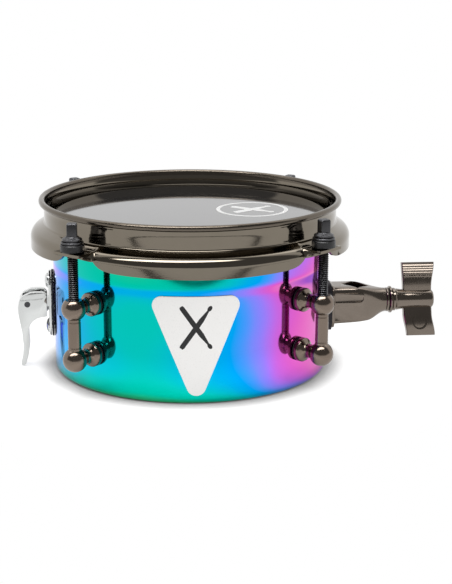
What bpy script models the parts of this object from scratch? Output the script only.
"""Micro snare drum: a 6 by 3.5 inch steel shell with one head, four tube lugs, a lever throw-off,
snare wires under the head and a clamp bracket. Metres, +Z up, the drum standing on its open end."""

import math

import bmesh
import bpy
from mathutils import Matrix, Vector

MM = 0.001
GAP = 0.3 * MM
# How far cutters run past what they cut
BEYOND = 5.0 * MM

# Shell
SHELL_RADIUS = 76.2 * MM
SHELL_WALL = 1.2 * MM
SHELL_HEIGHT = 86.0 * MM
BOTTOM_BEND = 2.6 * MM
BOTTOM_FLANGE = 6.5 * MM
CROWN_BEND = 2.2 * MM
CROWN_FLANGE = 1.5 * MM
ROUND_STEPS = 56

# Head: a film, and the channel ring that holds its edge
FILM = 0.35 * MM
HEM_DROP = 11.0 * MM
FLESH_CLEARANCE = 1.95 * MM
FLESH_CHAMFER = 0.8 * MM

# Hoop: a rolled lip, a wall, a sloping shoulder, a bulge and a skirt, all of one sheet
HOOP_CLEARANCE = 4.2 * MM
HOOP_WALL = 1.5 * MM
HOOP_RISE = 9.6 * MM
LIP_RADIUS = 1.65 * MM
LIP_OVERHANG = 1.05 * MM
SHOULDER_DROP = 3.65 * MM
SHOULDER_SLOPE = 30.0
SHOULDER_BEND = 1.0 * MM
BULGE_OUT = 7.45 * MM
BULGE_BEND = 5.5 * MM
SKIRT_DROP = 18.6 * MM
HOOP_POINTS = 11

# The hoop's ears, which the rods stand on: flat to EAR_HALF_WIDTH, then a short flank down to the bulge. The
# skirt's edge rises in a long arch towards an ear, and in a short curve where it meets the flank.
EAR_TOP_DROP = 6.6 * MM
EAR_MARGIN = 5.5 * MM
EAR_HALF_WIDTH = 8.0 * MM
EAR_FLANK = 2.8 * MM
DENT_RUN = 1.7 * MM
DENT_MARGIN = 0.9 * MM
ARCH_RISE = 2.4 * MM
ARCH_RUN = 50.0 * MM
CORNER_RISE = 4.2 * MM
CORNER_RUN = 3.5 * MM
# Where the hoop's sections stand: as shares of the ear, of its flank, and of the rest up to the middle
EAR_SECTIONS = (0, 0.5, 0.96)
FLANK_SECTIONS = (0.25, 0.5, 0.75, 1.0)
SKIRT_SECTIONS = (0.06, 0.15, 0.29, 0.49, 0.73)

# Tension rods and their washers
LUG_COUNT = 4
FIRST_LUG_ANGLE = 45.0
ROD_OFFSET = 14.6 * MM
ROD_RADIUS = 2.75 * MM
ROD_HEAD = 5.3 * MM
ROD_HEAD_HEIGHT = 7.3 * MM
COLLAR_RADIUS = 5.1 * MM
COLLAR_HEIGHT = 1.8 * MM
ROD_LENGTH = 37.9 * MM
NYLON_RADIUS = 6.2 * MM
NYLON_HEIGHT = 3.8 * MM
WASHER_RADIUS = 5.8 * MM
WASHER_HEIGHT = 1.1 * MM
# How far each square rod head is turned from facing along X
ROD_TURNS = {"front_left": -2.0, "front_right": 20.0, "back_left": 30.0, "back_right": 55.0}

# Lugs
BALL_RADIUS = 6.4 * MM
UPPER_BALL_DROP = 36.6 * MM
LOWER_BALL = 22.1 * MM
TUBE_RADIUS = 3.4 * MM
FOOT_RADIUS = 6.4 * MM
FOOT_HEIGHT = 1.9 * MM
NECK_RADIUS = 3.6 * MM
LUG_GASKET = 0.5 * MM
SCREW_RADIUS = 1.75 * MM
SCREW_HEAD_RADIUS = 4.0 * MM
SCREW_HEAD_HEIGHT = 2.2 * MM
SCREW_BITE = 6.3 * MM

# Throw-off
PLATE_HALF_WIDTH = 7.5 * MM
PLATE_LOW = 17.0 * MM
PLATE_HIGH = 54.4 * MM
PLATE = 1.2 * MM
PLATE_GASKET = 0.9 * MM
CHEEK = 1.5 * MM
LEVER_HALF_WIDTH = 6.5 * MM
LEVER_DROP = 36.1 * MM
LEVER_CLEARANCE = 1.2 * MM
TAIL_HALF_WIDTH = 4.5 * MM
CROWN_SLOT_OUT = 2.8 * MM
CROWN_SLOT_LOW = 3.0 * MM
PIVOT_OUT = 14.6 * MM
PIVOT_HEIGHT = 36.5 * MM
PIN_RADIUS = 1.65 * MM
KNUCKLE_HALF_WIDTH = 2.5 * MM
KNUCKLE_CLEARANCE = 0.45 * MM
KNUCKLE_HEIGHT = 5.2 * MM
KNUCKLE_EYE = 3.0 * MM
SKIN_SLOT = 0.4 * MM
BAR_RADIUS = 1.25 * MM
BAR_IN = 8.8 * MM
BAR_DROP = 5.8 * MM
THROW_SCREWS = (22.7 * MM, 48.7 * MM)
THROW_SCREW_BITE = 2.6 * MM
NUT_PLATE = 1.6 * MM
NUT_HALF_WIDTH = 5.6 * MM
NUT_MARGIN = 2.0 * MM
DOME_RADIUS = 4.2 * MM
DOME_HEIGHT = 1.9 * MM
CROSS_HALF = 0.45 * MM
SLOT_HALF_WIDTH = 3.2 * MM
SLOT_CLEARANCE = 0.35 * MM
TONGUE_TRAVEL = 6.2 * MM

# Snare bridge
TONGUE_HALF_WIDTH = 2.5 * MM
TONGUE = 1.5 * MM
TONGUE_OVERLAP = 2.5 * MM
TONGUE_RISE = 6.0 * MM
LEG_HALF_WIDTH = 7.0 * MM
LEG_CLEARANCE = 8.7 * MM
RAIL_HALF_GAP = 11.0 * MM
RAIL_WIDTH = 3.0 * MM
RAIL_HEIGHT = 2.6 * MM
RAIL_DROP = 5.6 * MM
RAIL_CLEARANCE = 17.7 * MM
SADDLE_LENGTH = 7.0 * MM
HINGE_DROP = 20.0 * MM
HINGE_PIN = 1.4 * MM
HINGE_ARM = 2.4 * MM
HINGE_ARM_IN = 5.9 * MM
HINGE_SLACK = 0.4 * MM
KNUCKLE_RADIUS = 3.4 * MM
WIRE_COUNT = 10
WIRE_RADIUS = 0.75 * MM
WIRE_SPREAD = 22.0 * MM
WIRE_PLATE = 1.2 * MM
WIRE_PLATE_LENGTH = 6.0 * MM
STOP_SCREW_RADIUS = 1.5 * MM
STOP_SCREW_DROP = 6.0 * MM
KNOB_RADIUS = 3.2 * MM
KNOB_LENGTH = 4.0 * MM
BACK_PLATE = 1.8 * MM
BACK_PLATE_DROP = 3.4 * MM
BACK_PLATE_MARGIN = 4.9 * MM
SPRING_WIRE = 0.4 * MM
SPRING_TURNS = 5
SPRING_PITCH = 1.4 * MM

# Bracket
BRACKET_GASKET = 2.1 * MM
GASKET_HALF_WIDTH = 12.0 * MM
GASKET_LOW = 18.1 * MM
GASKET_HIGH = 44.6 * MM
GASKET_CORNER = 6.0 * MM
BASE_FLANGE = 1.5 * MM
FLANGE_MARGIN = 1.2 * MM
BODY_HALF_WIDTH = 9.5 * MM
BODY_RISE = 9.5 * MM
BODY_FALL = 12.0 * MM
BRACKET_REACH = 34.4 * MM
NOSE_RADIUS = 6.7 * MM
BOLT_HEIGHT = 33.4 * MM
CLAMP_SQUARE = 11.0 * MM
CLAMP_OUT = 17.2 * MM
EYE_RADIUS = 8.0 * MM
EYE_HOLE = 6.4 * MM
EYE_HEIGHT = 7.4 * MM
EYE_TRAVEL = 4.2 * MM
POCKET_DEPTH = 0.7 * MM
BOLT_RADIUS = 3.0 * MM
SLEEVE_LENGTH = 1.6 * MM
LOCK_WASHER_RADIUS = 7.6 * MM
LOCK_WASHER = 1.4 * MM
NUT_COLLAR_RADIUS = 6.4 * MM
NUT_CONE_LENGTH = 6.5 * MM
BARREL_RADIUS = 5.35 * MM
BARREL_LENGTH = 17.2 * MM
WING_HALF_SPAN = 20.9 * MM
WING_THICKNESS = 4.4 * MM
WING_INSET = 1.0 * MM
# How far the upper and the lower wing lean outwards along the bolt
WING_FLARES = (0.7 * MM, 1.9 * MM)
WING_TURN = -13.8
BRACKET_SCREWS = (25.4 * MM, 40.0 * MM)
BRACKET_SCREW_BITE = 8.0 * MM

# Badge
BADGE = 0.4 * MM
BADGE_HALF_WIDTH = 22.6 * MM
BADGE_TOP = 57.8 * MM
BADGE_TIP = 4.8 * MM
BADGE_TURN = -1.8
BADGE_CORNER = 5.0 * MM

# Heights and radii that follow from the sizes above
OUTSIDE = SHELL_RADIUS + GAP
INSIDE = SHELL_RADIUS - SHELL_WALL - GAP
HOOP_RADIUS = SHELL_RADIUS + HOOP_CLEARANCE
HOOP_TOP = SHELL_HEIGHT + HOOP_RISE
SHOULDER_HEIGHT = SHELL_HEIGHT - SHOULDER_DROP
SKIRT_LOW = SHELL_HEIGHT - SKIRT_DROP
ROD_CIRCLE = SHELL_RADIUS + ROD_OFFSET
EAR_TOP = SHELL_HEIGHT - EAR_TOP_DROP
DENT_FOOT = ROD_CIRCLE - NYLON_RADIUS - DENT_MARGIN
NYLON_LOW = EAR_TOP + GAP
WASHER_LOW = NYLON_LOW + NYLON_HEIGHT + GAP
COLLAR_LOW = WASHER_LOW + WASHER_HEIGHT + GAP
ROD_END = COLLAR_LOW - ROD_LENGTH
UPPER_BALL = SHELL_HEIGHT - UPPER_BALL_DROP
LUG_MOUTH = UPPER_BALL + 0.74 * BALL_RADIUS
PLATE_FACE = OUTSIDE + PLATE_GASKET + GAP + PLATE
PIVOT_X = SHELL_RADIUS + PIVOT_OUT
LEVER_DEPTH = PIVOT_X - PLATE_FACE - LEVER_CLEARANCE
TONGUE_LOW = PIVOT_HEIGHT - BAR_DROP + BAR_RADIUS + GAP
TONGUE_REACH = PIVOT_X - BAR_IN + TONGUE_OVERLAP
SLOT_LOW = TONGUE_LOW - TONGUE_TRAVEL - SLOT_CLEARANCE
SLOT_HIGH = TONGUE_LOW + TONGUE + SLOT_CLEARANCE
KNUCKLE_LOW = TONGUE_LOW + TONGUE + KNUCKLE_CLEARANCE
LEG_X = INSIDE - LEG_CLEARANCE
RAIL_TOP = SHELL_HEIGHT - RAIL_DROP
RAIL_HALF_LENGTH = INSIDE - RAIL_CLEARANCE
SADDLE_TOP = SHELL_HEIGHT - 2 * WIRE_RADIUS - 0.4 * MM - GAP
BACK_FACE = INSIDE - 0.9 * MM
BACK_EAR_IN = HINGE_ARM_IN + HINGE_ARM + HINGE_SLACK
BACK_HALF_WIDTH = BACK_EAR_IN + BACK_PLATE
HINGE_X = BACK_FACE - BACK_PLATE - KNUCKLE_RADIUS - GAP
HINGE_HEIGHT = SHELL_HEIGHT - HINGE_DROP
STOP_SCREW_X = RAIL_HALF_LENGTH - SADDLE_LENGTH - GAP
STOP_SCREW_HEIGHT = SHELL_HEIGHT - STOP_SCREW_DROP


def clear_scene():
    for obj in list(bpy.data.objects):
        bpy.data.objects.remove(obj, do_unlink=True)


def material(name, color, roughness, metallic):
    mat = bpy.data.materials.new(name)
    mat.use_nodes = True
    shader = mat.node_tree.nodes["Principled BSDF"]
    shader.inputs["Base Color"].default_value = (*color, 1.0)
    shader.inputs["Roughness"].default_value = roughness
    shader.inputs["Metallic"].default_value = metallic
    return mat


def object_of(name, bm, mat=None, matrix=None):
    """A closed mesh with its faces pointing out, smooth but for its sharp edges."""
    bmesh.ops.remove_doubles(bm, verts=bm.verts, dist=1e-7)
    bmesh.ops.recalc_face_normals(bm, faces=bm.faces)
    if matrix is not None:
        bm.transform(matrix)
    mesh = bpy.data.meshes.new(name)
    bm.to_mesh(mesh)
    bm.free()
    mesh.shade_smooth()
    mesh.set_sharp_from_angle(angle=math.radians(32))
    if mat is not None:
        mesh.materials.append(mat)
    obj = bpy.data.objects.new(name, mesh)
    bpy.context.collection.objects.link(obj)
    return obj


def arc(cx, cz, radius, start, end, steps):
    """Points on an arc in the profile plane, angles in degrees."""
    angles = [math.radians(start + (end - start) * i / steps) for i in range(steps + 1)]
    return [(cx + radius * math.cos(a), cz + radius * math.sin(a)) for a in angles]


def ribbon(path, thickness):
    """The closed outline of a sheet of this thickness along a centre line, with mitred corners."""
    left, right = [], []
    for i, point in enumerate(path):
        here = Vector(point)
        before = (here - Vector(path[i - 1])).normalized() if i else None
        after = (Vector(path[i + 1]) - here).normalized() if i + 1 < len(path) else None
        along = (before or after) + (after or before)
        along.normalize()
        normal = Vector((-along.y, along.x))
        stretch = 1.0 / max(0.3, along.dot(after or before))
        left.append(tuple(here + normal * thickness / 2 * stretch))
        right.append(tuple(here - normal * thickness / 2 * stretch))
    return left + right[::-1]


def lathe(profile, steps=ROUND_STEPS, closed=True):
    """A turned solid: the profile's (radius, height) points swept round +Z."""
    bm = bmesh.new()
    rings = []
    for radius, height in profile:
        if radius < 1e-7:
            rings.append([bm.verts.new((0.0, 0.0, height))])
            continue
        rings.append([
            bm.verts.new((radius * math.cos(a), radius * math.sin(a), height))
            for a in (2 * math.pi * k / steps for k in range(steps))
        ])
    pairs = list(zip(rings, rings[1:]))
    if closed:
        pairs.append((rings[-1], rings[0]))
    for low, high in pairs:
        for k in range(steps):
            corners = [low[k % len(low)], low[(k + 1) % len(low)]]
            corners += [high[(k + 1) % len(high)], high[k % len(high)]]
            corners = list(dict.fromkeys(corners))
            if len(corners) > 2:
                bm.faces.new(corners)
    return bm


def prism(outline, low, high):
    """An outline in X and Y extruded from low to high along Z."""
    bm = bmesh.new()
    bottom = [bm.verts.new((x, y, low)) for x, y in outline]
    top = [bm.verts.new((x, y, high)) for x, y in outline]
    bm.faces.new(bottom)
    bm.faces.new(top)
    for k in range(len(outline)):
        m = (k + 1) % len(outline)
        bm.faces.new((bottom[k], bottom[m], top[m], top[k]))
    return bm


def box(low, high):
    outline = [(low[0], low[1]), (high[0], low[1]), (high[0], high[1]), (low[0], high[1])]
    return prism(outline, low[2], high[2])


def rounded_rectangle(low_x, low_y, high_x, high_y, radius, steps=4):
    corners = [
        (high_x - radius, high_y - radius, 0), (low_x + radius, high_y - radius, 90),
        (low_x + radius, low_y + radius, 180), (high_x - radius, low_y + radius, 270),
    ]
    points = []
    for cx, cy, start in corners:
        points += arc(cx, cy, radius, start, start + 90, steps)
    return points


def circle(cx, cy, radius, steps=24):
    """A ring of points, turned by half a step so that none lies straight above the middle."""
    half = 180 / steps
    return arc(cx, cy, radius, half, half + 360 * (steps - 1) / steps, steps - 1)


def along_x(bm, origin_x=0.0, height=0.0, y=0.0):
    """Turns a mesh made along +Z so that it lies along +X."""
    turn = Matrix(((0, 0, 1, 0), (0, 1, 0, 0), (-1, 0, 0, 0), (0, 0, 0, 1)))
    bm.transform(Matrix.Translation((origin_x, y, height)) @ turn)
    return bm


def side_plate(outline, low_y, high_y):
    """An outline in X and Z extruded from low_y to high_y along Y."""
    bm = prism([(x, -z) for x, z in outline], low_y, high_y)
    turn = Matrix(((1, 0, 0, 0), (0, 0, 1, 0), (0, -1, 0, 0), (0, 0, 0, 1)))
    bm.transform(turn)
    return bm


def rod_along_y(radius, low_y, high_y, x, z, steps=20):
    return side_plate(circle(x, z, radius, steps), low_y, high_y)


def combined(base, others, operation):
    """A mesh with others joined to it or cut from it by exact Booleans, as a new bmesh."""
    target = object_of("work", base)
    helpers = []
    for other in others:
        helper = object_of("tool", other)
        helper.hide_render = True
        helper.display_type = "WIRE"
        modifier = target.modifiers.new("shape", "BOOLEAN")
        modifier.operation = operation
        modifier.solver = "EXACT"
        modifier.object = helper
        helpers.append(helper)
    graph = bpy.context.evaluated_depsgraph_get()
    result = bmesh.new()
    result.from_mesh(target.evaluated_get(graph).to_mesh())
    for obj in [target, *helpers]:
        bpy.data.objects.remove(obj, do_unlink=True)
    return result


def join(base, *others):
    return combined(base, others, "UNION")


def cut(base, *others):
    return combined(base, others, "DIFFERENCE")


def smooth(low, high, value):
    """Rises evenly from 0 at low to 1 at high."""
    t = min(1.0, max(0.0, (value - low) / (high - low)))
    return t * t * (3 - 2 * t)


def rounded_path(corners, radii, steps=5):
    """A path through its corners, each but the first and last rounded with an arc that fits between them."""
    path = [corners[0]]
    for before, corner, after, radius in zip(corners, corners[1:], corners[2:], radii):
        here = Vector(corner)
        back = Vector(before) - here
        ahead = Vector(after) - here
        half = back.angle(ahead) / 2
        reach = min(radius / math.tan(half), 0.49 * back.length, 0.49 * ahead.length)
        back.normalize()
        ahead.normalize()
        centre = here + (back + ahead).normalized() * reach / math.cos(half)
        first, last = here + back * reach - centre, here + ahead * reach - centre
        bend = first.length
        first.normalize()
        last.normalize()
        path += [tuple(centre + first.slerp(last, k / steps) * bend) for k in range(steps + 1)]
    return path + [corners[-1]]


def resampled(points, count):
    """As many points along a path as asked, evenly spaced."""
    lengths = [0.0]
    for a, b in zip(points, points[1:]):
        lengths.append(lengths[-1] + math.dist(a, b))
    result = []
    k = 0
    for i in range(count):
        want = lengths[-1] * i / (count - 1)
        while k < len(points) - 2 and lengths[k + 1] < want:
            k += 1
        share = (want - lengths[k]) / (lengths[k + 1] - lengths[k])
        result.append(tuple(Vector(points[k]).lerp(Vector(points[k + 1]), share)))
    return result


def turned(degrees):
    return Matrix.Rotation(math.radians(degrees), 4, "Z")


def moved(bm, matrix):
    bm.transform(matrix)
    return bm


def screw_hole(low, high, height):
    """The cutter for a screw's clearance hole along X at a height."""
    return along_x(prism(circle(0, 0, SCREW_RADIUS + GAP, 12), low, high), 0, height)


def tongue_slot(low, high):
    """The cutter for the slot that the snare bridge's tongue passes through."""
    return box((low, -SLOT_HALF_WIDTH, SLOT_LOW), (high, SLOT_HALF_WIDTH, SLOT_HIGH))


def lug_angles():
    step = 360.0 / LUG_COUNT
    return [FIRST_LUG_ANGLE + step * k for k in range(LUG_COUNT)]


# The names of the lugs' places, seen from the badge's side: the badge faces -Y
LUG_PLACES = ("back_right", "back_left", "front_left", "front_right")


def make_shell(mat):
    centre = SHELL_RADIUS - SHELL_WALL / 2
    half = SHELL_WALL / 2
    path = [(centre - BOTTOM_FLANGE, half)]
    path += arc(centre - BOTTOM_BEND, half + BOTTOM_BEND, BOTTOM_BEND, -90, 0, 3)
    crown = SHELL_HEIGHT - half - CROWN_BEND
    path += arc(centre - CROWN_BEND, crown, CROWN_BEND, 0, 135, 4)
    end = path[-1]
    path.append((end[0] - CROWN_FLANGE, end[1] - CROWN_FLANGE))
    bm = lathe(ribbon(path, SHELL_WALL))
    low, high = SHELL_RADIUS - BEYOND, SHELL_RADIUS + BEYOND
    lug_holes = [(angle, height) for angle in lug_angles() for height in (UPPER_BALL, LOWER_BALL)]
    tools = [moved(screw_hole(low, high, height), turned(angle)) for angle, height in lug_holes]
    tools += [screw_hole(-high, -low, z) for z in THROW_SCREWS]
    tools += [screw_hole(low, high, z) for z in BRACKET_SCREWS]
    tools.append(tongue_slot(-high, -low))
    return object_of("shell", cut(bm, *tools), mat)


def slope_at(radius):
    """Height of the outer face of the hoop's shoulder at a radius."""
    return SHOULDER_HEIGHT - (radius - HOOP_RADIUS) * math.tan(math.radians(SHOULDER_SLOPE))


def hoop_paths(away):
    """Centre lines of the sheet from the wall's foot to its edge: as bulge and skirt, and as ear."""
    half = HOOP_WALL / 2
    sunk = half / math.cos(math.radians(SHOULDER_SLOPE))
    wall = HOOP_RADIUS - half
    skirt = HOOP_RADIUS + BULGE_OUT - half
    beyond = max(0.0, away - EAR_HALF_WIDTH - EAR_FLANK)
    arch = ARCH_RISE * math.exp(-beyond / ARCH_RUN) + CORNER_RISE * math.exp(-beyond / CORNER_RUN)
    skirt_edge = SKIRT_LOW + arch
    start = [(wall, SHOULDER_HEIGHT + HOOP_WALL), (wall, slope_at(wall) - sunk)]
    plain = rounded_path([*start, (skirt, slope_at(skirt) - sunk), (skirt, skirt_edge)],
                         (SHOULDER_BEND + half, BULGE_BEND - half))
    dent = DENT_FOOT - DENT_RUN
    flat = EAR_TOP - half
    edge = ROD_CIRCLE + EAR_MARGIN
    ear = rounded_path([*start, (dent, slope_at(dent) - sunk), (DENT_FOOT, flat), (edge, flat)],
                       (SHOULDER_BEND + half, half, half))
    return resampled(plain, HOOP_POINTS), resampled(ear, HOOP_POINTS)


def hoop_section(away):
    """The hoop's closed outline at a distance along it from the nearest rod."""
    lip_z = HOOP_TOP - LIP_RADIUS
    path = [(HOOP_RADIUS - HOOP_WALL / 2, lip_z - 2.2 * MM)]
    share = 1 - smooth(EAR_HALF_WIDTH, EAR_HALF_WIDTH + EAR_FLANK, away)
    for plain, ear in zip(*hoop_paths(away)):
        path.append((plain[0] + (ear[0] - plain[0]) * share, plain[1] + (ear[1] - plain[1]) * share))
    lip = arc(HOOP_RADIUS + LIP_OVERHANG, lip_z, LIP_RADIUS, 180, -125, 6)
    return lip + ribbon(path, HOOP_WALL)


def make_hoop(mat):
    middle = math.pi / LUG_COUNT * (HOOP_RADIUS + BULGE_OUT)
    flank_end = EAR_HALF_WIDTH + EAR_FLANK
    sides = [EAR_HALF_WIDTH * share for share in EAR_SECTIONS]
    sides += [EAR_HALF_WIDTH + EAR_FLANK * share for share in FLANK_SECTIONS]
    sides += [flank_end + (middle - flank_end) * share for share in SKIRT_SECTIONS]
    rings = []
    for lug in lug_angles():
        for side in [-s for s in sides[:0:-1]] + sides + [middle]:
            a = math.radians(lug) + side / (HOOP_RADIUS + BULGE_OUT)
            rings.append([(r * math.cos(a), r * math.sin(a), z) for r, z in hoop_section(abs(side))])
    bores = []
    for lug in lug_angles():
        bore = prism(circle(ROD_CIRCLE, 0, ROD_RADIUS + GAP, 16), EAR_TOP - BEYOND, EAR_TOP + BEYOND)
        bores.append(moved(bore, turned(lug)))
    object_of("hoop", cut(loft(rings, closed=True), *bores), mat)


def make_head(film_mat, ring_mat):
    crown_x = SHELL_RADIUS - SHELL_WALL / 2 - CROWN_BEND
    crown_z = SHELL_HEIGHT - SHELL_WALL / 2 - CROWN_BEND
    wrap = CROWN_BEND + SHELL_WALL / 2 + GAP + FILM / 2
    hem_z = SHELL_HEIGHT - HEM_DROP
    outer = DENT_FOOT - FLESH_CLEARANCE
    path = [(0.0, crown_z + wrap)]
    path += arc(crown_x, crown_z, wrap, 90, 0, 3)
    path += [(crown_x + wrap, hem_z), (crown_x + wrap + (outer - crown_x - wrap) / 2, hem_z)]
    outline = ribbon(path, FILM)
    outline = [(0.0, z) if i in (0, len(outline) - 1) else (r, z) for i, (r, z) in enumerate(outline)]
    film = object_of("drumhead", lathe(outline, closed=False), film_mat)
    low = hem_z + FILM / 2 + GAP
    inner = crown_x + wrap + FILM / 2 + GAP
    under = slope_at(outer - FLESH_CHAMFER) - HOOP_WALL / math.cos(math.radians(SHOULDER_SLOPE))
    top = under - 1.4 * GAP
    ring = lathe([(inner, low), (outer, low), (outer, top - FLESH_CHAMFER), (outer - FLESH_CHAMFER, top),
                  (inner, top)])
    return film, object_of("flesh_hoop", ring, ring_mat)


def rod_mesh():
    top = COLLAR_LOW + COLLAR_HEIGHT + ROD_HEAD_HEIGHT
    shank = lathe([(0, ROD_END), (ROD_RADIUS - 0.8 * MM, ROD_END), (ROD_RADIUS, ROD_END + 0.8 * MM),
                   (ROD_RADIUS, COLLAR_LOW), (COLLAR_RADIUS, COLLAR_LOW),
                   (COLLAR_RADIUS, COLLAR_LOW + COLLAR_HEIGHT - 0.6 * MM),
                   (COLLAR_RADIUS - 1.7 * MM, COLLAR_LOW + COLLAR_HEIGHT), (0, COLLAR_LOW + COLLAR_HEIGHT)],
                  16, closed=False)
    half = ROD_HEAD / 2
    head = prism(rounded_rectangle(-half, -half, half, half, 0.6 * MM, 1), COLLAR_LOW + 0.5 * MM, top)
    crown = lathe([(0, COLLAR_LOW), (half * 1.9, COLLAR_LOW), (half * 1.9, top - 1.6 * MM),
                   (half * 1.0, top + 0.05 * MM), (0, top + 0.05 * MM)], 16, closed=False)
    head = combined(head, [crown], "INTERSECT")
    return join(shank, head)


def make_rods(rod_mat, nylon_mat, washer_mat):
    for angle, place in zip(lug_angles(), LUG_PLACES):
        at = turned(angle) @ Matrix.Translation((ROD_CIRCLE, 0, 0))
        rod = object_of("tension_rod_" + place, rod_mesh(), rod_mat, turned(-angle + ROD_TURNS[place]))
        rod.matrix_world = at
        bore = ROD_RADIUS + GAP
        top = NYLON_LOW + NYLON_HEIGHT
        bevel = 0.5 * MM
        ring = lathe([(bore, NYLON_LOW), (NYLON_RADIUS, NYLON_LOW), (NYLON_RADIUS, top - bevel),
                      (NYLON_RADIUS - bevel, top), (bore, top)], 16)
        object_of("nylon_washer_" + place, ring, nylon_mat, at)
        top = WASHER_LOW + WASHER_HEIGHT
        ring = lathe([(bore, WASHER_LOW), (WASHER_RADIUS, WASHER_LOW), (WASHER_RADIUS, top), (bore, top)], 16)
        object_of("steel_washer_" + place, ring, washer_mat, at)


def lug_mesh():
    base = OUTSIDE + LUG_GASKET + GAP
    out = ROD_CIRCLE
    posts = []
    for height in (UPPER_BALL, LOWER_BALL):
        top = base + FOOT_HEIGHT
        bevel = 0.6 * MM
        profile = [(0, base), (FOOT_RADIUS, base), (FOOT_RADIUS, top - bevel), (FOOT_RADIUS - bevel, top),
                   (NECK_RADIUS + 0.7 * MM, top + 0.5 * MM), (NECK_RADIUS, top + 1.6 * MM)]
        start = math.degrees(math.asin(NECK_RADIUS / BALL_RADIUS))
        ball = [(BALL_RADIUS * math.sin(math.radians(a)), out - BALL_RADIUS * math.cos(math.radians(a)))
                for a in (start + (180 - start) * k / 6 for k in range(7))]
        profile += ball[:-1] + [(0, out + BALL_RADIUS)]
        posts.append(along_x(lathe(profile, 14, closed=False), 0, height))
    tube = prism(circle(out, 0, TUBE_RADIUS, 12), LOWER_BALL, UPPER_BALL)
    bm = join(posts[0], posts[1], tube)
    wide = BALL_RADIUS + BEYOND
    bore = prism(circle(out, 0, ROD_RADIUS + GAP, 14), ROD_END - GAP, UPPER_BALL + wide)
    flat = box((out - wide, -wide, LUG_MOUTH), (out + wide, wide, UPPER_BALL + wide))
    holes = [screw_hole(base - 2 * MM, base + SCREW_BITE, z) for z in (UPPER_BALL, LOWER_BALL)]
    return cut(bm, bore, flat, *holes)


def screw_mesh(head_at, head_out, length, head_radius, head_height, dome=False):
    """A screw along X: its head's bearing face at head_at, head_out +1 when the head points to +X."""
    if dome:
        head = [(head_radius * math.cos(math.radians(a)), head_height * math.sin(math.radians(a)))
                for a in (0, 30, 60)] + [(0, head_height)]
    else:
        head = [(head_radius, 0), (head_radius, head_height * 0.55), (head_radius * 0.72, head_height)]
        head.append((0, head_height))
    profile = [(0, -length), (SCREW_RADIUS, -length), (SCREW_RADIUS, 0)] + head
    bm = lathe(profile, 12, closed=False)
    if dome:
        low, high, half = head_height * 0.45, head_height * 2, CROSS_HALF
        reach = head_radius * 0.6
        across = box((-half, -reach, low), (half, reach, high))
        bm = cut(bm, join(box((-reach, -half, low), (reach, half, high)), across))
    if head_out < 0:
        bm.transform(Matrix.Rotation(math.pi, 4, "X"))
    return along_x(bm, head_at, 0)


def make_lugs(lug_mat, gasket_mat, screw_mat):
    for angle, place in zip(lug_angles(), LUG_PLACES):
        at = turned(angle)
        object_of("lug_" + place, lug_mesh(), lug_mat, at)
        for level, height in (("upper", UPPER_BALL), ("lower", LOWER_BALL)):
            bore = SCREW_RADIUS + GAP
            ring = lathe([(bore, 0), (FOOT_RADIUS, 0), (FOOT_RADIUS, LUG_GASKET), (bore, LUG_GASKET)], 12)
            object_of("lug_gasket_" + level + "_" + place, along_x(ring, OUTSIDE, height), gasket_mat, at)
            reach = OUTSIDE + LUG_GASKET + GAP + SCREW_BITE - 0.5 * MM
            seat = INSIDE - 0.15 * MM
            screw = screw_mesh(seat, -1, reach - seat, SCREW_HEAD_RADIUS, SCREW_HEAD_HEIGHT)
            screw.transform(Matrix.Translation((0, 0, height)))
            object_of("lug_screw_" + level + "_" + place, screw, screw_mat, at)


def lever_drawn(points):
    """A side view, drawn in mm for a lever 10.7 deep and 35.5 long, at the real size from its pivot."""
    return [(x * LEVER_DEPTH / 10.7, z * LEVER_DROP / 35.5) for x, z in points]


def lever_outline():
    points = arc(-7.8, 3.5, 2.9, 180, 95, 3)
    points += [(-1.7, 6.3), (1.0, 5.0), (3.8, 3.2), (5.1, -1.8), (4.5, -8.7), (3.7, -13.4), (3.3, -18.2),
               (2.9, -23.8), (3.4, -29.6), (4.5, -33.6), (4.1, -35.3), (2.3, -35.5), (1.6, -33.9)]
    points += [(0.3, -29.6), (-0.7, -23.8), (-0.6, -18.2), (-0.4, -13.4), (-2.9, -9.5), (-6.8, -7.5)]
    points.append((-10.6, -6.9))
    return lever_drawn(points)


def lever_hollow():
    """What is cut from between the lever's cheeks."""
    points = [(-14.0, 4.8), (-2.0, 4.8), (1.2, 4.0), (3.4, 1.8), (3.7, -1.8), (3.0, -8.6), (2.5, -12.0)]
    return lever_drawn(points + [(-14.0, -12.0)])


def make_lever(chrome):
    lever = side_plate(lever_outline(), -LEVER_HALF_WIDTH, LEVER_HALF_WIDTH)
    inner = LEVER_HALF_WIDTH - CHEEK
    knuckle = KNUCKLE_HALF_WIDTH + SKIN_SLOT
    wide = LEVER_HALF_WIDTH + BEYOND
    tools = [side_plate(lever_hollow(), -inner, inner)]
    tools.append(box((-LEVER_DEPTH - BEYOND, -knuckle, CROWN_SLOT_LOW),
                     (CROWN_SLOT_OUT, knuckle, CROWN_SLOT_LOW + 2 * BEYOND)))
    tools.append(rod_along_y(PIN_RADIUS + GAP, -wide, wide, 0, 0, 16))
    beside_tail = lever_drawn([(-9.0, -40.0), (9.0, -40.0), (9.0, -15.5), (-9.0, -13.2)])
    for side in (-1, 1):
        near, far = sorted((side * TAIL_HALF_WIDTH, side * wide))
        tools.append(side_plate(beside_tail, near, far))
    lever = cut(lever, *tools)
    bar_half = inner + CHEEK / 2
    bar = rod_along_y(BAR_RADIUS, -bar_half, bar_half, -BAR_IN, -BAR_DROP, 12)
    lever = object_of("throwoff_lever", join(lever, bar), chrome)
    lever.matrix_world = turned(180) @ Matrix.Translation((PIVOT_X, 0, PIVOT_HEIGHT))


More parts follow.
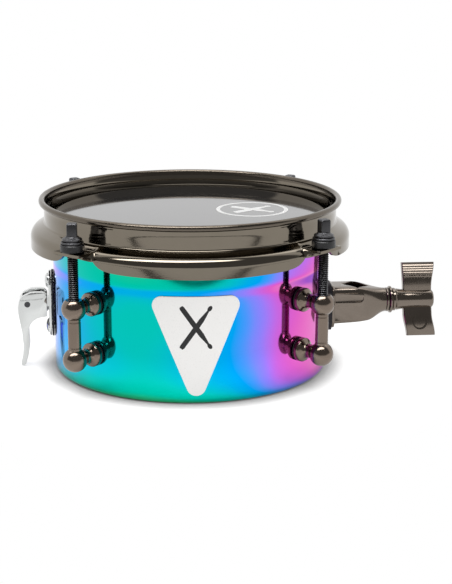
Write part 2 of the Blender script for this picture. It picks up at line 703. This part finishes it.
def make_throw_off(chrome, pin_mat, gasket_mat):
    flip = turned(180)
    outline = rounded_rectangle(-PLATE_HIGH, -PLATE_HALF_WIDTH, -PLATE_LOW, PLATE_HALF_WIDTH,
                                PLATE_HALF_WIDTH - 0.4 * MM, 5)
    low, high = INSIDE - BEYOND, PLATE_FACE + BEYOND
    gasket = along_x(prism(outline, OUTSIDE, OUTSIDE + PLATE_GASKET))
    gasket = cut(gasket, tongue_slot(low, high), *[screw_hole(low, high, z) for z in THROW_SCREWS])
    object_of("throwoff_gasket", gasket, gasket_mat, flip)

    plate = along_x(prism(outline, PLATE_FACE - PLATE, PLATE_FACE))
    plate = cut(plate, tongue_slot(low, high), *[screw_hole(low, high, z) for z in THROW_SCREWS])
    top = KNUCKLE_LOW + KNUCKLE_HEIGHT
    root = PLATE_FACE - PLATE / 2
    arm = side_plate([(root, KNUCKLE_LOW), (PIVOT_X - 2 * MM, KNUCKLE_LOW),
                      (PIVOT_X - 1 * MM, PIVOT_HEIGHT + KNUCKLE_EYE - 0.3 * MM), (PLATE_FACE + 3 * MM, top),
                      (root, top)], -KNUCKLE_HALF_WIDTH, KNUCKLE_HALF_WIDTH)
    eye = rod_along_y(KNUCKLE_EYE, -KNUCKLE_HALF_WIDTH, KNUCKLE_HALF_WIDTH, PIVOT_X, PIVOT_HEIGHT, 20)
    wide = LEVER_HALF_WIDTH + BEYOND
    base = cut(join(plate, arm, eye), rod_along_y(PIN_RADIUS + GAP, -wide, wide, PIVOT_X, PIVOT_HEIGHT, 16))
    object_of("throwoff_base", base, chrome, flip)

    half = LEVER_HALF_WIDTH + 0.2 * MM
    object_of("throwoff_pin", rod_along_y(PIN_RADIUS, -half, half, PIVOT_X, PIVOT_HEIGHT, 16), pin_mat, flip)
    make_lever(chrome)

    nut_face = INSIDE - 0.6 * MM
    outline = rounded_rectangle(-PLATE_HIGH + NUT_MARGIN, -NUT_HALF_WIDTH,
                                -PLATE_LOW - NUT_MARGIN, NUT_HALF_WIDTH, 2 * MM, 2)
    nut = along_x(prism(outline, nut_face - NUT_PLATE, nut_face))
    nut = cut(nut, tongue_slot(low, high), *[screw_hole(low, high, z) for z in THROW_SCREWS])
    object_of("throwoff_nut_plate", nut, pin_mat, flip)
    for level, height in zip(("lower", "upper"), THROW_SCREWS):
        seat = PLATE_FACE + GAP
        screw = screw_mesh(seat, 1, seat - nut_face + THROW_SCREW_BITE, DOME_RADIUS, DOME_HEIGHT, dome=True)
        screw.transform(Matrix.Translation((0, 0, height)))
        object_of("throwoff_screw_" + level, screw, chrome, flip)


def loft(sections, closed=False):
    """A closed skin over outlines of as many points each: a ring, or a solid with flat ends."""
    bm = bmesh.new()
    rings = [[bm.verts.new(p) for p in section] for section in sections]
    count = len(rings[0])
    pairs = list(zip(rings, rings[1:]))
    if closed:
        pairs.append((rings[-1], rings[0]))
    else:
        bm.faces.new(rings[0])
        bm.faces.new(rings[-1])
    for a, b in pairs:
        for k in range(count):
            bm.faces.new((a[k], a[(k + 1) % count], b[(k + 1) % count], b[k]))
    return bm


def soft_square(x, half_width, low, high, power, steps=28):
    """An outline across X, between a circle at power 2 and a square at a high power."""
    centre, half_height = (low + high) / 2, (high - low) / 2
    points = []
    for k in range(steps):
        a = 2 * math.pi * (k + 0.5) / steps
        c, s = math.cos(a), math.sin(a)
        points.append((x, half_width * math.copysign(abs(c) ** (2 / power), c),
                       centre + half_height * math.copysign(abs(s) ** (2 / power), s)))
    return points


def bracket_casting(base, nose):
    """The block that tapers and rounds into the nose, with its base flange."""
    sections = []
    for share in (0.015, 0.38, 0.55, 0.7, 0.84, 0.94, 1.0):
        taper = smooth(0.38, 1.0, share)
        half = BODY_HALF_WIDTH + (NOSE_RADIUS - BODY_HALF_WIDTH) * taper
        high = BOLT_HEIGHT + BODY_RISE + (NOSE_RADIUS - BODY_RISE) * taper
        low = BOLT_HEIGHT - BODY_FALL - (NOSE_RADIUS - BODY_FALL) * taper
        sections.append(soft_square(base + (nose - base) * share, half, low, high, 7 - 5 * taper))
    side = GASKET_HALF_WIDTH - FLANGE_MARGIN
    outline = rounded_rectangle(-GASKET_HIGH + FLANGE_MARGIN, -side, -GASKET_LOW - FLANGE_MARGIN, side,
                                GASKET_CORNER - 1 * MM)
    return join(loft(sections), along_x(prism(outline, base, base + BASE_FLANGE)))


def make_bracket(cast_mat, gasket_mat, bolt_mat, screw_mat):
    face = OUTSIDE + BRACKET_GASKET
    side = GASKET_HALF_WIDTH
    outline = rounded_rectangle(-GASKET_HIGH, -side, -GASKET_LOW, side, GASKET_CORNER)
    pad = along_x(prism(outline, OUTSIDE - 2.5 * MM, face))
    low, high = OUTSIDE - BEYOND, OUTSIDE + BRACKET_SCREW_BITE + 0.4 * MM
    round_shell = prism(circle(0, 0, OUTSIDE, ROUND_STEPS * 2), GASKET_LOW - BEYOND, GASKET_HIGH + BEYOND)
    gasket = cut(pad, round_shell, *[screw_hole(low, high, z) for z in BRACKET_SCREWS])
    object_of("bracket_gasket", gasket, gasket_mat)

    base = face + GAP
    nose = SHELL_RADIUS + BRACKET_REACH
    up, down = BOLT_HEIGHT + BODY_RISE, BOLT_HEIGHT - BODY_FALL
    clamp = SHELL_RADIUS + CLAMP_OUT
    reach = CLAMP_SQUARE / math.sqrt(2)
    diamond = prism([(clamp - reach, 0), (clamp, -reach), (clamp + reach, 0), (clamp, reach)],
                    down - BEYOND, up + BEYOND)
    half_eye = EYE_HEIGHT / 2 + GAP
    eye_slot = prism(rounded_rectangle(clamp - EYE_RADIUS - EYE_TRAVEL, -EYE_RADIUS - GAP,
                                       clamp + EYE_RADIUS + 2 * GAP, EYE_RADIUS + GAP, 4 * MM),
                     BOLT_HEIGHT - half_eye, BOLT_HEIGHT + half_eye)
    channel = along_x(prism(circle(0, 0, BOLT_RADIUS + GAP), clamp, nose + BEYOND), 0, BOLT_HEIGHT)
    pockets = []
    for side in (-1, 1):
        near, far = sorted((side * (BODY_HALF_WIDTH - POCKET_DEPTH), side * (BODY_HALF_WIDTH + BEYOND)))
        pockets.append(box((base + 4.2 * MM, near, BOLT_HEIGHT + 1.2 * MM),
                           (base + 14.6 * MM, far, BOLT_HEIGHT + 5.4 * MM)))
        pockets.append(box((base + BASE_FLANGE + 0.4 * MM, near, down - BEYOND),
                           (base + 18.6 * MM, far, BOLT_HEIGHT - 2.2 * MM)))
    holes = [screw_hole(low, high, z) for z in BRACKET_SCREWS]
    body = bracket_casting(base, nose)
    object_of("bracket_body", cut(body, diamond, eye_slot, channel, *holes, *pockets), cast_mat)

    eye = prism(circle(clamp, 0, EYE_RADIUS, 28), BOLT_HEIGHT - EYE_HEIGHT / 2, BOLT_HEIGHT + EYE_HEIGHT / 2)
    sleeve_low = nose + GAP
    washer_low = sleeve_low + SLEEVE_LENGTH + GAP
    nut_low = washer_low + LOCK_WASHER + GAP
    nut_high = nut_low + NUT_CONE_LENGTH + BARREL_LENGTH
    shank = prism(circle(0, 0, BOLT_RADIUS), clamp + EYE_RADIUS - 1.2 * MM, nut_high - 2.4 * MM)
    shank = along_x(shank, 0, BOLT_HEIGHT)
    bolt = join(eye, shank)
    bolt = cut(bolt, prism(circle(clamp, 0, EYE_HOLE, 24), down, up))
    object_of("eye_bolt", bolt, bolt_mat)

    def ring_along_x(low, length, radius, bevel):
        bore = BOLT_RADIUS + GAP
        high = low + length
        profile = [(bore, low), (radius - bevel, low), (radius, low + bevel), (radius, high - bevel),
                   (radius - bevel, high), (bore, high)]
        return along_x(lathe(profile, 20), 0, BOLT_HEIGHT)

    object_of("bracket_sleeve", ring_along_x(sleeve_low, SLEEVE_LENGTH, NOSE_RADIUS, 0.3 * MM), cast_mat)
    object_of("lock_washer", ring_along_x(washer_low, LOCK_WASHER, LOCK_WASHER_RADIUS, 0.3 * MM), bolt_mat)
    make_wing_nut(nut_low, bolt_mat)

    for level, height in zip(("lower", "upper"), BRACKET_SCREWS):
        seat = BACK_FACE - BACK_PLATE - GAP
        length = OUTSIDE + BRACKET_SCREW_BITE - seat
        screw = screw_mesh(seat, -1, length, SCREW_HEAD_RADIUS, SCREW_HEAD_HEIGHT)
        screw.transform(Matrix.Translation((0, 0, height)))
        object_of("bracket_screw_" + level, screw, screw_mat)


def make_wing_nut(low, mat):
    """The wing nut, its origin on the bolt's axis."""
    root = low + NUT_CONE_LENGTH
    end = root + BARREL_LENGTH
    bore = BOLT_RADIUS + GAP
    barrel = lathe([(bore, low), (NUT_COLLAR_RADIUS, low), (NUT_COLLAR_RADIUS, low + 1.6 * MM),
                    (NUT_COLLAR_RADIUS - 0.7 * MM, low + 2.2 * MM), (BARREL_RADIUS, root),
                    (BARREL_RADIUS, end - 1.4 * MM), (BARREL_RADIUS - 1.2 * MM, end), (bore, end)], 24)
    wings = []
    wings = []
    for side, flare in zip((-1, 1), WING_FLARES):
        near, far = BARREL_RADIUS - 1.6 * MM, WING_HALF_SPAN
        rings = []
        thick = WING_THICKNESS / 2
        stations = ((near, 0.0, thick), (far - 1.0 * MM, flare, thick * 0.95), (far, flare, thick * 0.7))
        for out, lean, half in stations:
            low_x, high_x = root + lean, end - WING_INSET + lean
            rings.append([(side * out, -half, low_x), (side * out, half, low_x),
                          (side * out, half, high_x), (side * out, -half, high_x)])
        wings.append(loft(rings))
    bm = join(barrel, *wings)
    bm = cut(bm, prism(circle(0, 0, bore), low - 2 * MM, end + 2 * MM))
    bm.transform(Matrix.Rotation(math.radians(WING_TURN), 4, "Z"))
    nut = object_of("wing_nut", along_x(bm, 0, 0), mat)
    nut.location = (0, 0, BOLT_HEIGHT)


def make_back_plate(steel, pin_mat):
    """The plate inside the shell that backs the bracket's screws and carries the snare hinge."""
    top, bottom = SHELL_HEIGHT - BACK_PLATE_DROP, BRACKET_SCREWS[0] - BACK_PLATE_MARGIN
    outline = rounded_rectangle(-top, -BACK_HALF_WIDTH, -bottom, BACK_HALF_WIDTH, 2 * MM, 2)
    plate = along_x(prism(outline, BACK_FACE - BACK_PLATE, BACK_FACE))
    root = BACK_FACE - BACK_PLATE / 2
    ears = []
    for side in (-1, 1):
        near, far = sorted((side * BACK_EAR_IN, side * BACK_HALF_WIDTH))
        ear = [(root, HINGE_HEIGHT - KNUCKLE_RADIUS), (root, HINGE_HEIGHT + KNUCKLE_RADIUS)]
        ears.append(side_plate(ear + arc(HINGE_X, HINGE_HEIGHT, KNUCKLE_RADIUS, 90, 270, 6), near, far))
    tools = [screw_hole(BACK_FACE - BEYOND, BACK_FACE + BEYOND, z) for z in BRACKET_SCREWS]
    tools.append(hinge_bore())
    object_of("snare_back_plate", cut(join(plate, *ears), *tools), steel)
    half = BACK_HALF_WIDTH + 0.5 * MM
    object_of("snare_hinge_pin", rod_along_y(HINGE_PIN, -half, half, HINGE_X, HINGE_HEIGHT, 16), pin_mat)


def hinge_bore():
    """The cutter for the snare hinge pin's holes."""
    half = BACK_HALF_WIDTH + BEYOND
    return rod_along_y(HINGE_PIN + GAP, -half, half, HINGE_X, HINGE_HEIGHT, 16)


def make_bridge(steel):
    """The hinged frame under the head, bent down to the tongue that the lever lifts."""
    low = RAIL_TOP - RAIL_HEIGHT
    end = RAIL_HALF_LENGTH
    wide = RAIL_HALF_GAP + RAIL_WIDTH
    frame = cut(box((-end, -wide, low), (end, wide, RAIL_TOP)),
                box((-end + SADDLE_LENGTH, -RAIL_HALF_GAP, low - BEYOND),
                    (end - SADDLE_LENGTH, RAIL_HALF_GAP, RAIL_TOP + BEYOND)))
    pieces = []
    for side in (-1, 1):
        near, far = sorted((side * end, side * (end - SADDLE_LENGTH)))
        pieces.append(box((near, -wide, RAIL_TOP - 1 * MM), (far, wide, SADDLE_TOP)))
        near, far = sorted((side * HINGE_ARM_IN, side * (HINGE_ARM_IN + HINGE_ARM)))
        top = RAIL_TOP + 1 * MM
        arm = [(end - 3 * MM, low + 0.5 * MM), (end - 3 * MM, top), (end - 1 * MM, top)]
        pieces.append(side_plate(arm + arc(HINGE_X, HINGE_HEIGHT, KNUCKLE_RADIUS, 60, -140, 8), near, far))
    bend = TONGUE_LOW + TONGUE_RISE
    back = -LEG_X - TONGUE
    pieces.append(box((back, -LEG_HALF_WIDTH, low), (-end + 2 * MM, LEG_HALF_WIDTH, low + TONGUE)))
    pieces.append(box((back, -LEG_HALF_WIDTH, bend), (-LEG_X, LEG_HALF_WIDTH, low + TONGUE)))
    pieces.append(box((back, -TONGUE_HALF_WIDTH, TONGUE_LOW), (-LEG_X, TONGUE_HALF_WIDTH, bend + 1 * MM)))
    pieces.append(box((-TONGUE_REACH, -TONGUE_HALF_WIDTH, TONGUE_LOW),
                      (-LEG_X - TONGUE / 2, TONGUE_HALF_WIDTH, TONGUE_LOW + TONGUE)))
    frame = join(frame, *pieces)
    tapped = prism(circle(0, 0, STOP_SCREW_RADIUS + GAP, 12), end - SADDLE_LENGTH - BEYOND, end + BEYOND)
    tapped = along_x(tapped, 0, STOP_SCREW_HEIGHT)
    bridge = object_of("snare_bridge", cut(frame, hinge_bore(), tapped), steel,
                       Matrix.Translation((-HINGE_X, 0, -HINGE_HEIGHT)))
    bridge.location = (HINGE_X, 0, HINGE_HEIGHT)


def make_wires(wire_mat):
    low = SADDLE_TOP + GAP
    far = RAIL_HALF_LENGTH - 0.4 * MM
    near = far - WIRE_PLATE_LENGTH
    half = WIRE_SPREAD / 2 + 1.6 * MM
    plates = [box((-far, -half, low), (-near, half, low + WIRE_PLATE)),
              box((near, -half, low), (far, half, low + WIRE_PLATE))]
    strands = []
    for k in range(WIRE_COUNT):
        y = WIRE_SPREAD * (k / (WIRE_COUNT - 1) - 0.5)
        strand = prism(circle(0, 0, WIRE_RADIUS, 6), -near - 2.5 * MM, near + 2.5 * MM)
        strands.append(along_x(strand, 0, SHELL_HEIGHT - WIRE_RADIUS, y))
    object_of("snare_wires", join(*plates, *strands), wire_mat)


def make_stop_screw(mat):
    """The thumb screw that bears on the back plate and sets how high the bridge can rise."""
    reach = BACK_FACE - BACK_PLATE - GAP - STOP_SCREW_X
    bevel = 0.5 * MM
    profile = [(0, -KNOB_LENGTH), (KNOB_RADIUS - bevel, -KNOB_LENGTH), (KNOB_RADIUS, -KNOB_LENGTH + bevel),
               (KNOB_RADIUS, 0.0), (STOP_SCREW_RADIUS, 0.0), (STOP_SCREW_RADIUS, reach), (0, reach)]
    screw = object_of("snare_stop_screw", along_x(lathe(profile, 16, closed=False)), mat)
    screw.location = (STOP_SCREW_X, 0, STOP_SCREW_HEIGHT)


def make_spring(mat):
    """The coil round the hinge pin that pulls the bridge down when the lever lets it go."""
    steps = 7
    radius = HINGE_PIN + GAP + SPRING_WIRE
    rings = []
    for k in range(steps * SPRING_TURNS + 1):
        a = 2 * math.pi * k / steps
        y = SPRING_PITCH * (k / steps - SPRING_TURNS / 2)
        ring = []
        for b in (math.pi * n / 2 for n in range(4)):
            r = radius + SPRING_WIRE * math.cos(b)
            across = y + SPRING_WIRE * math.sin(b)
            ring.append((HINGE_X + r * math.cos(a), across, HINGE_HEIGHT + r * math.sin(a)))
        rings.append(ring)
    object_of("snare_spring", loft(rings), mat)


def make_snares(steel, wire_mat, pin_mat, screw_mat):
    make_back_plate(steel, pin_mat)
    make_bridge(steel)
    make_wires(wire_mat)
    make_stop_screw(screw_mat)
    make_spring(pin_mat)


def make_badge(mat):
    """The triangular badge, cut flat and bent round the shell."""
    tip_centre = (0.0, BADGE_TIP + BADGE_CORNER * 1.05)
    top_z = BADGE_TOP - BADGE_CORNER
    corner_x = BADGE_HALF_WIDTH - BADGE_CORNER
    slope = math.degrees(math.atan2(top_z - tip_centre[1], corner_x))
    outline = arc(corner_x, top_z, BADGE_CORNER, slope - 90, 90, 5)
    outline += arc(-corner_x, top_z, BADGE_CORNER, 90, 270 - slope, 5)
    outline += arc(tip_centre[0], tip_centre[1], BADGE_CORNER, 270 - slope, slope + 270, 4)
    bm = side_plate(outline, 0.0, BADGE)
    steps = 12
    for k in range(1, steps):
        x = BADGE_HALF_WIDTH * (2 * k / steps - 1)
        everything = bm.verts[:] + bm.edges[:] + bm.faces[:]
        bmesh.ops.bisect_plane(bm, geom=everything, plane_co=(x, 0, 0), plane_no=(1, 0, 0))
    for vert in bm.verts:
        radius = OUTSIDE + vert.co.y
        a = vert.co.x / OUTSIDE
        vert.co = (radius * math.sin(a), -radius * math.cos(a), vert.co.z)
    object_of("badge", bm, mat, turned(BADGE_TURN))


def stand_on_origin():
    """Moves the drum so that the origin lies under the middle of the whole object."""
    graph = bpy.context.evaluated_depsgraph_get()
    low = Vector((1e9, 1e9, 1e9))
    high = -low
    roots = list(bpy.context.collection.objects)
    for obj in roots:
        shown = obj.evaluated_get(graph)
        mesh = shown.to_mesh()
        for vert in mesh.vertices:
            point = shown.matrix_world @ vert.co
            low = Vector(map(min, low, point))
            high = Vector(map(max, high, point))
    frame = bpy.data.objects.new("drum_frame", None)
    bpy.context.collection.objects.link(frame)
    for obj in roots:
        obj.parent = frame
    frame.location = (-(low.x + high.x) / 2, -(low.y + high.y) / 2, -low.z)
    return frame


def main():
    clear_scene()
    rainbow = material("rainbow_plated_steel", (0.05, 0.55, 0.65), 0.12, 1.0)
    black_nickel = material("black_nickel", (0.16, 0.15, 0.145), 0.12, 1.0)
    cast_nickel = material("cast_black_nickel", (0.2, 0.19, 0.18), 0.25, 1.0)
    chrome = material("chrome", (0.75, 0.75, 0.76), 0.08, 1.0)
    steel = material("zinc_plated_steel", (0.5, 0.5, 0.52), 0.3, 1.0)
    wire = material("snare_steel", (0.6, 0.6, 0.6), 0.25, 1.0)
    black_oxide = material("black_oxide_steel", (0.02, 0.02, 0.022), 0.45, 0.6)
    rubber = material("black_rubber", (0.012, 0.012, 0.013), 0.7, 0.0)
    nylon = material("black_nylon", (0.015, 0.015, 0.017), 0.5, 0.0)
    film = material("black_film", (0.012, 0.012, 0.013), 0.08, 0.0)
    aluminium = material("aluminium", (0.55, 0.55, 0.56), 0.35, 1.0)
    vinyl = material("white_vinyl", (0.85, 0.85, 0.84), 0.35, 0.0)
    make_shell(rainbow)
    make_hoop(black_nickel)
    make_head(film, aluminium)
    make_rods(black_oxide, nylon, black_oxide)
    make_lugs(black_nickel, rubber, steel)
    make_throw_off(chrome, black_oxide, rubber)
    make_bracket(cast_nickel, rubber, black_nickel, steel)
    make_snares(steel, wire, black_oxide, steel)
    make_badge(vinyl)
    frame = stand_on_origin()
    bpy.context.view_layer.update()
    print("drum axis in the part's frame, mm:", [round(v * 1000, 3) for v in frame.location])
    pivots = {
        "lever pivot": (-PIVOT_X, 0, PIVOT_HEIGHT), "snare hinge": (HINGE_X, 0, HINGE_HEIGHT),
        "bolt axis": (0, 0, BOLT_HEIGHT), "stop screw": (STOP_SCREW_X, 0, STOP_SCREW_HEIGHT),
    }
    for name, point in pivots.items():
        print(name, [round(v * 1000, 3) for v in frame.matrix_world @ Vector(point)])
    for angle, place in zip(lug_angles(), LUG_PLACES):
        point = turned(angle) @ Vector((ROD_CIRCLE, 0, 0))
        print("rod", place, [round(v * 1000, 3) for v in frame.matrix_world @ point])


main()
